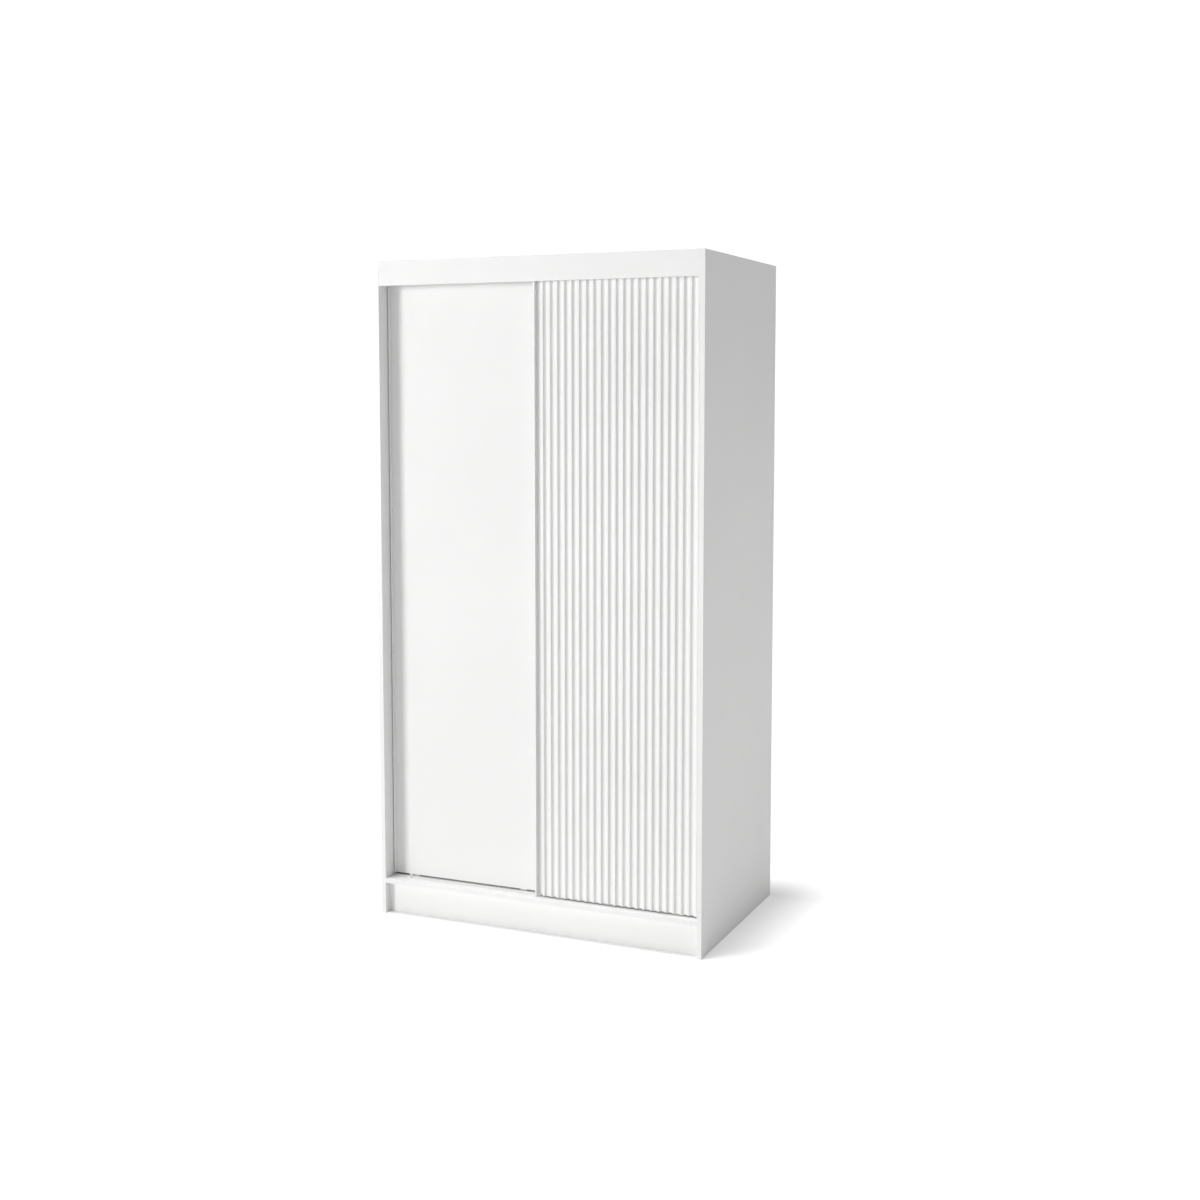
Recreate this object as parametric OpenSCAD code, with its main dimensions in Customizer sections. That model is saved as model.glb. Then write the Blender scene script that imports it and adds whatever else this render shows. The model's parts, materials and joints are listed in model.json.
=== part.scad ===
// Two-door sliding wardrobe: a board carcass with a plain rear door and a fluted front door.
// Millimetres. X runs along the width, the doors face -Y, and Z = 0 is the floor.
// The origin is on the floor at the middle of the width and the depth.

/* [Carcass] */
// Overall width
body_w = 1000; // [900:10:1200]
// Overall depth
body_d = 620; // [580:10:660]
// Overall height
body_h = 1900; // [1800:10:2200]
// Thickness of every board
board_t = 14; // [14:1:18]
// Height of the fascia above the doors
fascia_h = 70; // [60:5:90]
// Height of the plinth under the bottom panel
plinth_h = 91; // [70:1:110]
// How far the front plinth stands behind the front edges
plinth_set = 22; // [15:1:40]
// Thickness of the back sheets
back_t = 3; // [3:0.5:4]

/* [Doors] */
// How far the front of the fluted door stands behind the front edges
door_set = 20; // [18:1:30]
// How far the two doors overlap when closed
door_overlap = 12; // [8:1:30]
// Gap between a closed door and its side panel
side_gap = 2; // [1:0.5:4]
// Gap between the front door's back and the rear door's grip
door_gap = 4; // [3:0.5:8]
// Height of the doors above the bottom panel
door_lift = 5; // [5:0.5:8]
// Travel of each door
door_travel = 470; // [400:5:470]

/* [Fluted panel] */
// Thickness of the fluted panel
flute_t = 8; // [8:0.5:10]
// Distance from one flute to the next
flute_pitch = 21.7; // [18:0.1:26]
// Width of the flat land between two flutes
land_w = 5.2; // [3:0.1:7]
// Depth of a flute
flute_depth = 6.4; // [3:0.1:6.5]
// Distance from the door's edge to the fluted panel
flute_inset = 22.8; // [15:0.1:40]

/* [Grip profile] */
// Width of the grip's lip
lip_w = 4.6; // [3:0.1:8]
// Height of the plain door's lip above its board
lip_proud = 8; // [7:0.5:9]
// Height of the fluted door's lip above its board
front_lip_proud = 12; // [8:0.5:12]

/* [Interior] */
// Height of the hanging rail's centre below the hat shelf
rail_drop = 60; // [45:5:90]
// Width of the oval rail's section
rail_w = 15; // [12:1:16]
// Height of the oval rail's section
rail_h = 30; // [25:1:32]

/* [Hidden] */

$fn = 48;
slack = 1;            // how far a cutting shape runs past a face
fit_gap = 0.1;        // clearance of a piece that slips into its seat

// Main planes
half_w = body_w / 2;
half_d = body_d / 2;
half_t = board_t / 2;
inner_x = half_w - board_t;
front_y = -half_d;
strip_wall = 0.8;
strip_web = 0.5;
strip_flange = 12;
sheet_edge = 1;
sheet_rear_y = half_d - strip_wall;
board_rear_y = sheet_rear_y - back_t;
bottom_z = plinth_h + board_t;
ceiling_z = body_h - board_t;

// Door planes, each at the front face of the door's board
door_top_gap = 24;
inside_gap = 6;
front_board_y = front_y + door_set + flute_t;
rear_board_y = front_board_y + board_t + door_gap + lip_proud;
front_mid_y = front_board_y + half_t;
rear_mid_y = rear_board_y + half_t;
inside_front_y = rear_board_y + board_t + inside_gap;
door_w = inner_x - side_gap + door_overlap / 2;
door_z = bottom_z + door_lift;
door_h = ceiling_z - door_top_gap - door_z;
left_door_x = -inner_x + side_gap;
right_door_x = inner_x - side_gap - door_w;

// Grip profile
web_t = 1.6;
lip_round = 0.8;
scoop_deep = 2.2;
spine_l = 6;
spine_t = 2.4;

// Tracks and rollers
track_mid_y = (front_mid_y + rear_mid_y) / 2;
track_end_gap = 1;
track_l = 2 * (inner_x - track_end_gap);
rail_track_w = 4;
rail_track_h = 4.5;
rail_track_wall = 0.6;
slot_w = rail_track_w - 2 * rail_track_wall;
ride_gap = 0.3;
wheel_r = 12;
rim_w = slot_w - 2 * ride_gap;
hub_w = 5.4;
axle_r = 1.5;
axle_gap = 0.05;
axle_z = bottom_z - rail_track_h + rail_track_wall + ride_gap + wheel_r;
wheel_inset = 70;
wheel_xs = [wheel_inset, door_w - wheel_inset];
housing = [40, 9, 19];
housing_plate = [70, 10, 2];
cavity = [28, 6, 17.5];
plate_hole_x = 28;
channel_w = 7;
channel_wall = 1.5;
channel_h = 20;
guide_body = [30, 9, 16];
guide_tongue = [22, 5, 14];
stop = [10, 7, 4];
stop_tongue = 3;
stop_gap = wheel_r + 1;
track_screw_xs = [-420, -140, 140, 420];

// Shelves: five in the left bay, and the hat shelf level with the highest
shelf_count = 5;
fixed_shelf = 3;
bay_step = (ceiling_z - bottom_z + board_t) / (shelf_count + 1);
shelf_set = 10;
shelf_front_y = inside_front_y + shelf_set;
function shelf_z(i) = bottom_z + i * bay_step - board_t;
hat_z = shelf_z(shelf_count);
pin_r = 2.5;
pin_in = 8;
pin_out = 9;
pin_collar_r = 4.5;
pin_collar_t = 1.5;
pin_flat_z = 2.1;
pin_ys = [-190, 260];
pin_row_step = 32;

// Hanging rail
rail_y = (inside_front_y + board_rear_y) / 2;
rail_z = hat_z - rail_drop;
rail_wall = 1.2;
cup_wall = 2;
cup_l = 12;
flange_w = 24;
flange_h = 62;
flange_t = 2.5;
flange_screw_z = 24.5;

// Countersunk screws
screw_r = 1.75;
screw_head_r = 3.4;
screw_play = 0.1;
drive_r = 1.3;
drive_depth = 1;
short_screw_l = 12;
plate_screw_l = 16;

// Joinery: each joint is [kind, x, y, z, direction along X, roll about X]
cam_r = 7.5;
cam_h = 12;
cam_inset = 34;
cam_slot_l = 8;
cam_slot_w = 2;
bolt_r = 3;
bolt_play = 0.5;
bolt_thread_r = 2.5;
bolt_in = 10;
dowel_r = 4;
dowel_in = 10;
dowel_out = 20;
cam_ys = [-170, 230];
dowel_ys = [-110, 170];
left_bay_ends = [[-inner_x, -1], [-half_t, 1]];
right_bay_ends = [[half_t, -1], [inner_x, 1]];
full_ends = [[-inner_x, -1], [inner_x, 1]];
function flat_joints(z, roll, ends) = [
    for (e = ends) for (k = [0, 1]) for (y = k == 0 ? cam_ys : dowel_ys)
        [k == 0 ? "cam" : "dowel", e[0], y, z + half_t, e[1], roll]
];
function upright_joints(y, roll, cam_z, dowel_zs) = [
    for (e = full_ends) for (z = concat([cam_z], dowel_zs))
        [z == cam_z ? "cam" : "dowel", e[0], y + half_t, z, e[1], roll]
];
plinth_y = front_y + plinth_set;
plinth_rear_y = board_rear_y - plinth_set - board_t;
top_joints = flat_joints(ceiling_z, 0, full_ends);
bottom_joints = flat_joints(plinth_h, 180, full_ends);
shelf_joints = flat_joints(shelf_z(fixed_shelf), 180, left_bay_ends);
hat_joints = flat_joints(hat_z, 180, right_bay_ends);
plinth_zs = [plinth_h * 0.25, plinth_h * 0.75];
fascia_dowel_z = body_h - fascia_h + 12;
plinth_front_joints = upright_joints(plinth_y, -90, plinth_h / 2, plinth_zs);
plinth_rear_joints = upright_joints(plinth_rear_y, 90, plinth_h / 2, plinth_zs);
fascia_joints = upright_joints(front_y, -90, body_h - fascia_h / 2, [fascia_dowel_z]);
all_joints = concat(top_joints, bottom_joints, shelf_joints, hat_joints,
    plinth_front_joints, plinth_rear_joints, fascia_joints);

// Confirmat screws that hold the divider, through the top panel and the bottom panel
confirmat_r = 2.5;
confirmat_head_r = 5;
confirmat_head_h = 3;
confirmat_l = 50;
socket_r = 2.3;
socket_depth = 2;
confirmat_ys = [-160, 40, 250];

// Wall brackets, inside at the top of the back
bracket_x = 440;
bracket_leg = 40;
bracket_w = 24;
bracket_t = 2;
anchor_r = 2.75;
anchor_drop = 24;
bracket_screw_ys = [14, 30];

// Corner blocks behind the fascia and behind the plinth
block_s = 13;
block_l = 36;
block_screw_l = 24;
fascia_block_xs = [-240, 0, 240];
plinth_block_xs = [-240, 240];

// Back nails
nail_r = 0.7;
nail_l = 18;
nail_head_r = 2.2;
nail_head_t = 0.6;
nail_rows = 11;
nail_end_z = 50;
nail_xs = [120, 250, 380];

panel_white = [0.95, 0.95, 0.95];
sheet_white = [0.92, 0.92, 0.91];
nylon = [0.85, 0.86, 0.86];
steel = [0.72, 0.73, 0.75];
beech = [0.82, 0.66, 0.45];

// ---- Helpers ----

// A box between two corners
module box(low, high) {
    translate(low) cube(high - low);
}

// A cylinder of length l from the origin along +X
module rod_x(r, l) {
    rotate([0, 90, 0]) cylinder(r = r, h = l);
}

// A cylinder of length l from the origin along +Y
module rod_y(r, l) {
    rotate([-90, 0, 0]) cylinder(r = r, h = l);
}

// Countersunk wood screw: flat head at the origin, shank along -Z
module wood_screw(l) {
    head_h = screw_head_r - screw_r;
    difference() {
        union() {
            translate([0, 0, -head_h]) cylinder(r1 = screw_r, r2 = screw_head_r, h = head_h);
            translate([0, 0, -l]) cylinder(r = screw_r, h = l - head_h);
        }
        translate([0, 0, -drive_depth]) cylinder(r = drive_r, h = drive_depth + slack, $fn = 4);
    }
}

// The seat that a countersunk screw leaves in the plate it holds
module screw_seat(plate_t) {
    r = screw_r + screw_play;
    head_r = screw_head_r + screw_play;
    head_h = head_r - r;
    translate([0, 0, -plate_t - slack]) cylinder(r = r, h = plate_t + slack);
    translate([0, 0, -head_h]) cylinder(r1 = r, r2 = head_r, h = head_h);
    cylinder(r = head_r, h = slack);
}

// Places a child in a joint's own frame: +X leaves the board's end, +Z is the cam's face
module at_joint(j) {
    translate([j[1], j[2], j[3]])
        mirror([j[4] < 0 ? 1 : 0, 0, 0])
            rotate([j[5], 0, 0]) children();
}

// Cam with the bolt's way in and a cross slot in its face
module cam_lock() {
    difference() {
        translate([-cam_inset, 0, half_t - cam_h]) cylinder(r = cam_r, h = cam_h);
        translate([-cam_inset, 0, 0]) rod_x(bolt_r + fit_gap, cam_r + slack);
        for (turn = [0, 90])
            translate([-cam_inset, 0, half_t]) rotate([0, 0, turn])
                cube([cam_slot_l, cam_slot_w, 2 * cam_slot_w], center = true);
    }
}

module cam_bolt() {
    translate([-cam_inset, 0, 0]) rod_x(bolt_r, cam_inset - 1);
    translate([-1, 0, 0]) rod_x(bolt_thread_r, bolt_in + 1);
}

module dowel() {
    translate([-dowel_out, 0, 0]) rod_x(dowel_r, dowel_out + dowel_in);
}

// Everything that is drilled for a list of joints, in both boards
module joint_bores(joints) {
    for (j = joints) at_joint(j) {
        if (j[0] == "cam") {
            translate([-cam_inset, 0, half_t - cam_h]) cylinder(r = cam_r, h = cam_h + slack);
            translate([-cam_inset, 0, 0]) rod_x(bolt_r + bolt_play, cam_inset);
            translate([-slack, 0, 0]) rod_x(bolt_thread_r, bolt_in + slack);
        } else {
            dowel();
        }
    }
}

module confirmat(socket = true) {
    difference() {
        union() {
            translate([0, 0, -confirmat_head_h]) cylinder(r = confirmat_head_r, h = confirmat_head_h);
            translate([0, 0, -confirmat_l]) cylinder(r = confirmat_r, h = confirmat_l - confirmat_head_h);
        }
        if (socket) translate([0, 0, -socket_depth])
            cylinder(r = socket_r, h = socket_depth + slack, $fn = 6);
    }
}

module at_top_confirmats() {
    for (y = confirmat_ys) translate([0, y, body_h]) children();
}

module at_bottom_confirmats() {
    for (y = confirmat_ys) translate([0, y, plinth_h]) mirror([0, 0, 1]) children();
}

module brace_dowels() {
    for (y = [plinth_y + board_t, plinth_rear_y], z = plinth_zs)
        translate([0, y - dowel_in, z]) rod_y(dowel_r, 2 * dowel_in);
}

// Holes for the shelf pins, with a spare row above and below each shelf
module pin_holes(x) {
    for (i = [1:shelf_count], y = pin_ys, row = [-1:1])
        if (i != fixed_shelf)
            translate([x, y, shelf_z(i) - pin_r + row * pin_row_step]) rod_x(pin_r, pin_in);
}

module at_anchors() {
    for (x = [-bracket_x, bracket_x]) translate([x, 0, ceiling_z - anchor_drop]) children();
}

// ---- Carcass ----

module side_panel(side) {
    ends = [for (j = all_joints) if (j[1] == side * inner_x) j];
    color(panel_white) difference() {
        if (side < 0) box([-half_w, front_y, 0], [-inner_x, board_rear_y, body_h]);
        else box([inner_x, front_y, 0], [half_w, board_rear_y, body_h]);
        joint_bores(ends);
        if (side < 0) pin_holes(-inner_x - pin_in);
    }
}

module side_panel_left() {
    side_panel(-1);
}

module side_panel_right() {
    side_panel(1);
}

module top_panel() {
    color(panel_white) difference() {
        box([-inner_x, front_y + board_t, ceiling_z], [inner_x, board_rear_y, body_h]);
        joint_bores(top_joints);
        at_top_confirmats() confirmat(false);
    }
}

module bottom_panel() {
    color(panel_white) difference() {
        box([-inner_x, front_y, plinth_h], [inner_x, board_rear_y, bottom_z]);
        joint_bores(bottom_joints);
        at_bottom_confirmats() confirmat(false);
        for (y = [front_mid_y, rear_mid_y])
            translate([-half_w, y - rail_track_w / 2, bottom_z - rail_track_h])
                cube([body_w, rail_track_w, rail_track_h + slack]);
    }
}

module centre_divider() {
    middle_joints = [for (j = all_joints) if (abs(j[1]) == half_t) j];
    color(panel_white) difference() {
        box([-half_t, inside_front_y, bottom_z], [half_t, board_rear_y - 1, ceiling_z]);
        joint_bores(middle_joints);
        pin_holes(-half_t);
        at_top_confirmats() confirmat(false);
        at_bottom_confirmats() confirmat(false);
    }
}

module fascia() {
    color(panel_white) difference() {
        box([-inner_x, front_y, body_h - fascia_h], [inner_x, front_y + board_t, body_h]);
        joint_bores(fascia_joints);
    }
}

module plinth_front() {
    color(panel_white) difference() {
        box([-inner_x, plinth_y, 0], [inner_x, plinth_y + board_t, plinth_h]);
        joint_bores(plinth_front_joints);
        brace_dowels();
    }
}

module plinth_rear() {
    color(panel_white) difference() {
        box([-inner_x, plinth_rear_y, 0], [inner_x, plinth_rear_y + board_t, plinth_h]);
        joint_bores(plinth_rear_joints);
        brace_dowels();
    }
}

module plinth_brace() {
    color(panel_white) difference() {
        box([-half_t, plinth_y + board_t, 0], [half_t, plinth_rear_y, plinth_h]);
        brace_dowels();
    }
}

// One back sheet, from the joint strip's web to just inside the side panel's outer face
module back_sheet(side) {
    inner = strip_web + fit_gap;
    outer = half_w - sheet_edge;
    low_z = 2 * sheet_edge;
    high_z = body_h - sheet_edge;
    color(sheet_white) difference() {
        box([side < 0 ? -outer : inner, board_rear_y, low_z],
            [side < 0 ? -inner : outer, sheet_rear_y, high_z]);
        at_anchors() translate([0, board_rear_y - slack, 0]) rod_y(anchor_r, back_t + 2 * slack);
    }
}

module back_sheet_left() {
    back_sheet(-1);
}

module back_sheet_right() {
    back_sheet(1);
}

// H-section strip that joins the two back sheets behind the divider
module back_joint_strip() {
    color(nylon) {
        box([-strip_web, board_rear_y - strip_wall, bottom_z], [strip_web, half_d, ceiling_z]);
        for (y = [board_rear_y - strip_wall, sheet_rear_y])
            box([-strip_flange, y, bottom_z], [strip_flange, y + strip_wall, ceiling_z]);
    }
}

module back_nail() {
    rod_y(nail_head_r, nail_head_t);
    translate([0, -nail_l, 0]) rod_y(nail_r, nail_l);
}

module back_nails() {
    row_step = (body_h - 2 * nail_end_z) / (nail_rows - 1);
    color(steel) {
        for (side = [-1, 1], i = [0:nail_rows - 1])
            translate([side * (half_w - half_t), sheet_rear_y, nail_end_z + i * row_step]) back_nail();
        for (side = [-1, 1], x = nail_xs, z = [plinth_h + half_t, body_h - half_t])
            translate([side * x, sheet_rear_y, z]) back_nail();
    }
}

// ---- Interior ----

module shelf(i) {
    side_clear = i == fixed_shelf ? 0 : 1;
    color(panel_white) difference() {
        box([-inner_x + side_clear, shelf_front_y, shelf_z(i)],
            [-half_t - side_clear, board_rear_y - 2, shelf_z(i) + board_t]);
        if (i == fixed_shelf) joint_bores(shelf_joints);
    }
}

module hat_shelf() {
    color(panel_white) difference() {
        box([half_t, shelf_front_y, hat_z], [inner_x, board_rear_y - 2, hat_z + board_t]);
        joint_bores(hat_joints);
    }
}

// Pin with a collar against the board; the collar's top is cut flat to clear the shelf
module shelf_pin() {
    translate([-pin_in, 0, 0]) rod_x(pin_r, pin_in + pin_out);
    difference() {
        rod_x(pin_collar_r, pin_collar_t);
        translate([-slack, -pin_collar_r, pin_flat_z])
            cube([pin_collar_t + 2 * slack, 2 * pin_collar_r, pin_collar_r]);
    }
}

module shelf_pins() {
    color(steel) for (i = [1:shelf_count], y = pin_ys)
        if (i != fixed_shelf) {
            translate([-inner_x, y, shelf_z(i) - pin_r]) shelf_pin();
            translate([-half_t, y, shelf_z(i) - pin_r]) mirror([1, 0, 0]) shelf_pin();
        }
}

// Upright oval section, grown by g all round
module rail_section(g = 0) {
    r = rail_w / 2 + g;
    straight = (rail_h - rail_w) / 2;
    square([2 * r, 2 * straight], center = true);
    for (s = [-1, 1]) translate([0, s * straight]) circle(r = r);
}

// Places a child so that its XY plane is the section and its +Z runs along the rail
module at_rail(x) {
    translate([x, rail_y, rail_z]) rotate([90, 0, 90]) children();
}

module hanging_rail() {
    start = half_t + flange_t;
    end = inner_x - flange_t;
    color(steel) at_rail(start) linear_extrude(end - start) difference() {
        rail_section();
        rail_section(-rail_wall);
    }
}

// End bracket: a screw plate on the board and a cup round the rail's end
module rail_bracket() {
    straight = flange_h - flange_w;
    difference() {
        union() {
            linear_extrude(flange_t) {
                square([flange_w, straight], center = true);
                for (s = [-1, 1]) translate([0, s * straight / 2]) circle(r = flange_w / 2);
            }
            linear_extrude(cup_l) rail_section(cup_wall);
        }
        translate([0, 0, flange_t]) linear_extrude(cup_l) rail_section(fit_gap);
        at_flange_screws() screw_seat(flange_t);
    }
}

module at_flange_screws() {
    for (s = [-1, 1]) translate([0, s * flange_screw_z, flange_t]) children();
}

module rail_bracket_left() {
    color(steel) at_rail(half_t) rail_bracket();
}

module rail_bracket_right() {
    color(steel) at_rail(inner_x) mirror([0, 0, 1]) rail_bracket();
}

module rail_bracket_screws() {
    color(steel) {
        at_rail(half_t) at_flange_screws() wood_screw(short_screw_l);
        at_rail(inner_x) mirror([0, 0, 1]) at_flange_screws() wood_screw(short_screw_l);
    }
}

// ---- Tracks ----

// Two channels that open downwards, on one base plate under the top panel
module top_track() {
    outer = channel_w / 2 + channel_wall;
    base_z = ceiling_z - channel_wall;
    color(nylon) difference() {
        union() {
            box([-track_l / 2, front_mid_y - outer, base_z], [track_l / 2, rear_mid_y + outer, ceiling_z]);
            for (y = [front_mid_y, rear_mid_y], s = [-1, 1])
                translate([-track_l / 2, y + s * (outer - channel_wall / 2) - channel_wall / 2,
                    ceiling_z - channel_h])
                    cube([track_l, channel_wall, channel_h]);
        }
        for (x = track_screw_xs)
            translate([x, track_mid_y, base_z]) mirror([0, 0, 1]) screw_seat(channel_wall);
    }
}

// One slim channel per door, let into the bottom panel and flush with its top
module bottom_track() {
    color(nylon) for (y = [front_mid_y, rear_mid_y])
        translate([-track_l / 2, y, bottom_z]) difference() {
            translate([0, -rail_track_w / 2, -rail_track_h]) cube([track_l, rail_track_w, rail_track_h]);
            translate([-slack, -slot_w / 2, -rail_track_h + rail_track_wall])
                cube([track_l + 2 * slack, slot_w, rail_track_h]);
        }
}

module track_screws() {
    color(steel) for (x = track_screw_xs)
        translate([x, track_mid_y, ceiling_z - channel_wall]) mirror([0, 0, 1]) wood_screw(short_screw_l);
}

// Stop on the bottom panel with a tongue in the channel; s is the end of the track that it guards
module track_stop(x, y, s) {
    near = s > 0 ? x : x - stop[0];
    tongue_w = slot_w - 2 * fit_gap;
    translate([near, y - stop[1] / 2, bottom_z]) cube(stop);
    translate([near, y - tongue_w / 2, bottom_z - stop_tongue]) cube([stop[0], tongue_w, stop_tongue]);
}

module track_stops() {
    closed_x = inner_x - side_gap - wheel_inset + stop_gap;
    open_x = -left_door_x - (2 * inner_x - 2 * side_gap - door_w - door_travel)
        - wheel_inset + stop_gap;
    color(nylon) {
        track_stop(-closed_x, rear_mid_y, -1);
        track_stop(open_x, rear_mid_y, 1);
        track_stop(closed_x, front_mid_y, 1);
        track_stop(-open_x, front_mid_y, -1);
    }
}

// ---- Fasteners ----

module cam_locks() {
    color(steel) for (j = all_joints) if (j[0] == "cam") at_joint(j) cam_lock();
}

module cam_bolts() {
    color(steel) for (j = all_joints) if (j[0] == "cam") at_joint(j) cam_bolt();
}

module dowels() {
    color(beech) {
        for (j = all_joints) if (j[0] == "dowel") at_joint(j) dowel();
        brace_dowels();
    }
}

module confirmat_screws() {
    color(steel) {
        at_top_confirmats() confirmat();
        at_bottom_confirmats() confirmat();
    }
}

// Block under one board and behind another, with a screw into each
module corner_block() {
    difference() {
        translate([-block_l / 2, 0, -block_s]) cube([block_l, block_s, block_s]);
        translate([-block_l / 4, block_s / 2, -block_s]) mirror([0, 0, 1]) screw_seat(block_s);
        translate([block_l / 4, block_s, -block_s / 2]) rotate([-90, 0, 0]) screw_seat(block_s);
    }
}

module at_blocks() {
    for (x = fascia_block_xs) translate([x, front_y + board_t, ceiling_z]) children();
    for (x = plinth_block_xs) translate([x, plinth_y + board_t, plinth_h]) children();
}

module corner_blocks() {
    color(nylon) at_blocks() corner_block();
}

module corner_block_screws() {
    color(steel) at_blocks() {
        translate([-block_l / 4, block_s / 2, -block_s]) mirror([0, 0, 1]) wood_screw(block_screw_l);
        translate([block_l / 4, block_s, -block_s / 2]) rotate([-90, 0, 0]) wood_screw(block_screw_l);
    }
}

// Angle bracket under the top panel, with the wall screw's hole in its upright leg
module wall_bracket(x) {
    difference() {
        union() {
            box([x - bracket_w / 2, board_rear_y - bracket_leg, ceiling_z - bracket_t],
                [x + bracket_w / 2, board_rear_y, ceiling_z]);
            box([x - bracket_w / 2, board_rear_y - bracket_t, ceiling_z - bracket_leg],
                [x + bracket_w / 2, board_rear_y, ceiling_z]);
        }
        translate([x, board_rear_y - bracket_t - slack, ceiling_z - anchor_drop])
            rod_y(anchor_r, bracket_t + 2 * slack);
        at_bracket_screws(x) screw_seat(bracket_t);
    }
}

module wall_brackets() {
    color(steel) for (x = [-bracket_x, bracket_x]) wall_bracket(x);
}

module wall_bracket_screws() {
    color(steel) for (x = [-bracket_x, bracket_x]) at_bracket_screws(x) wood_screw(short_screw_l);
}

module at_bracket_screws(x) {
    for (dy = bracket_screw_ys)
        translate([x, board_rear_y - dy, ceiling_z - bracket_t]) mirror([0, 0, 1]) children();
}

// ---- Doors, each in its own frame: x = 0 left edge, y = 0 board front, z = 0 bottom edge ----

module at_left_door() {
    translate([left_door_x, rear_board_y, door_z]) children();
}

module at_right_door() {
    translate([right_door_x, front_board_y, door_z]) children();
}

module at_rollers() {
    for (x = wheel_xs) translate([x, half_t, 0]) children();
}

module door_board() {
    color(panel_white) difference() {
        box([web_t, 0, 0], [door_w, board_t, door_h]);
        translate([0, half_t - spine_t / 2, -slack]) cube([web_t + spine_l, spine_t, door_h + 2 * slack]);
        at_rollers() {
            translate([-housing[0] / 2, -housing[1] / 2, -slack])
                cube([housing[0], housing[1], housing[2] + slack]);
            translate([-housing_plate[0] / 2, -housing_plate[1] / 2, -slack])
                cube([housing_plate[0], housing_plate[1], housing_plate[2] + slack]);
            translate([-guide_body[0] / 2, -guide_body[1] / 2, door_h - guide_body[2]])
                cube([guide_body[0], guide_body[1], guide_body[2] + slack]);
        }
    }
}

// Section of the grip profile: hollowed lip in front, web on the edge, spine in the board's groove
module grip_section(proud) {
    scoop_r = proud / 2 - 1;
    difference() {
        union() {
            translate([0, -proud + lip_round]) square([lip_w, proud - lip_round]);
            translate([lip_round, -proud]) square([lip_w - 2 * lip_round, lip_round]);
            for (x = [lip_round, lip_w - lip_round])
                translate([x, -proud + lip_round]) circle(r = lip_round);
        }
        translate([lip_w + scoop_r - scoop_deep, -proud / 2 + lip_round / 2]) circle(r = scoop_r);
    }
    square([web_t, board_t]);
    translate([0, half_t - spine_t / 2]) square([web_t + spine_l, spine_t]);
}

module door_grip(proud) {
    color(panel_white) linear_extrude(door_h) grip_section(proud);
}

module fluted_panel() {
    groove_w = flute_pitch - land_w;
    groove_r = (groove_w * groove_w / 4 + flute_depth * flute_depth) / (2 * flute_depth);
    width = door_w - flute_inset;
    flutes = ceil(width / flute_pitch);
    color(panel_white) translate([flute_inset, -flute_t, 0]) linear_extrude(door_h) difference() {
        square([width, flute_t]);
        for (i = [0:flutes - 1])
            translate([land_w + groove_w / 2 + i * flute_pitch, flute_depth - groove_r])
                circle(r = groove_r, $fn = 96);
    }
}

// Roller housing: a block in the door's lower edge with a plate that two screws hold
module roller_housing() {
    difference() {
        union() {
            translate([-housing[0] / 2, -housing[1] / 2, 0]) cube(housing);
            translate([-housing_plate[0] / 2, -housing_plate[1] / 2, 0]) cube(housing_plate);
        }
        translate([-cavity[0] / 2, -cavity[1] / 2, -slack]) cube([cavity[0], cavity[1], cavity[2] + slack]);
        translate([0, -housing[1], axle_z - door_z]) rod_y(axle_r, 2 * housing[1]);
        for (s = [-1, 1]) translate([s * plate_hole_x, 0, 0]) mirror([0, 0, 1]) screw_seat(housing_plate[2]);
    }
}

module roller_axle() {
    translate([0, -housing[1] / 2, axle_z - door_z]) rod_y(axle_r, housing[1]);
}

module roller_screws() {
    color(steel) at_rollers() for (s = [-1, 1])
        translate([s * plate_hole_x, 0, 0]) mirror([0, 0, 1]) wood_screw(plate_screw_l);
}

// Wheel with a narrow rim that runs in the channel, turned about its axle
module wheel() {
    hub_r = 4;
    edge = 0.5;
    rim = rim_w / 2;
    hub = hub_w / 2;
    bore = axle_r + axle_gap;
    translate([0, 0, axle_z - door_z]) rotate([90, 0, 0]) rotate_extrude() polygon([
        [bore, -hub], [hub_r, -hub], [hub_r, -rim], [wheel_r - edge, -rim], [wheel_r, -rim + edge],
        [wheel_r, rim - edge], [wheel_r - edge, rim], [hub_r, rim], [hub_r, hub], [bore, hub]
    ]);
}

// Top guide: a block in the door's upper edge with a tongue that runs in the channel
module top_guide() {
    tip_r = guide_tongue[1] / 2;
    half_l = guide_tongue[0] / 2 - tip_r;
    translate([-guide_body[0] / 2, -guide_body[1] / 2, door_h - guide_body[2]]) cube(guide_body);
    translate([0, 0, door_h - 1]) {
        translate([-half_l, -tip_r, 0]) cube([2 * half_l, 2 * tip_r, guide_tongue[2] + 1]);
        for (x = [-half_l, half_l]) translate([x, 0, 0]) cylinder(r = tip_r, h = guide_tongue[2] + 1);
    }
}

module left_door_board() {
    at_left_door() door_board();
}

module left_door_grip() {
    at_left_door() door_grip(lip_proud);
}

module left_door_roller_housings() {
    color(nylon) at_left_door() at_rollers() roller_housing();
}

module left_door_roller_axles() {
    color(steel) at_left_door() at_rollers() roller_axle();
}

module left_door_roller_screws() {
    at_left_door() roller_screws();
}

module left_door_top_guides() {
    color(nylon) at_left_door() at_rollers() top_guide();
}

module left_door_wheel(i) {
    color(nylon) at_left_door() translate([wheel_xs[i - 1], half_t, 0]) wheel();
}

module right_door_board() {
    at_right_door() door_board();
}

module right_door_fluted_panel() {
    at_right_door() fluted_panel();
}

module right_door_grip() {
    at_right_door() door_grip(front_lip_proud);
}

module right_door_roller_housings() {
    color(nylon) at_right_door() at_rollers() roller_housing();
}

module right_door_roller_axles() {
    color(steel) at_right_door() at_rollers() roller_axle();
}

module right_door_roller_screws() {
    at_right_door() roller_screws();
}

module right_door_top_guides() {
    color(nylon) at_right_door() at_rollers() top_guide();
}

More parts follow.
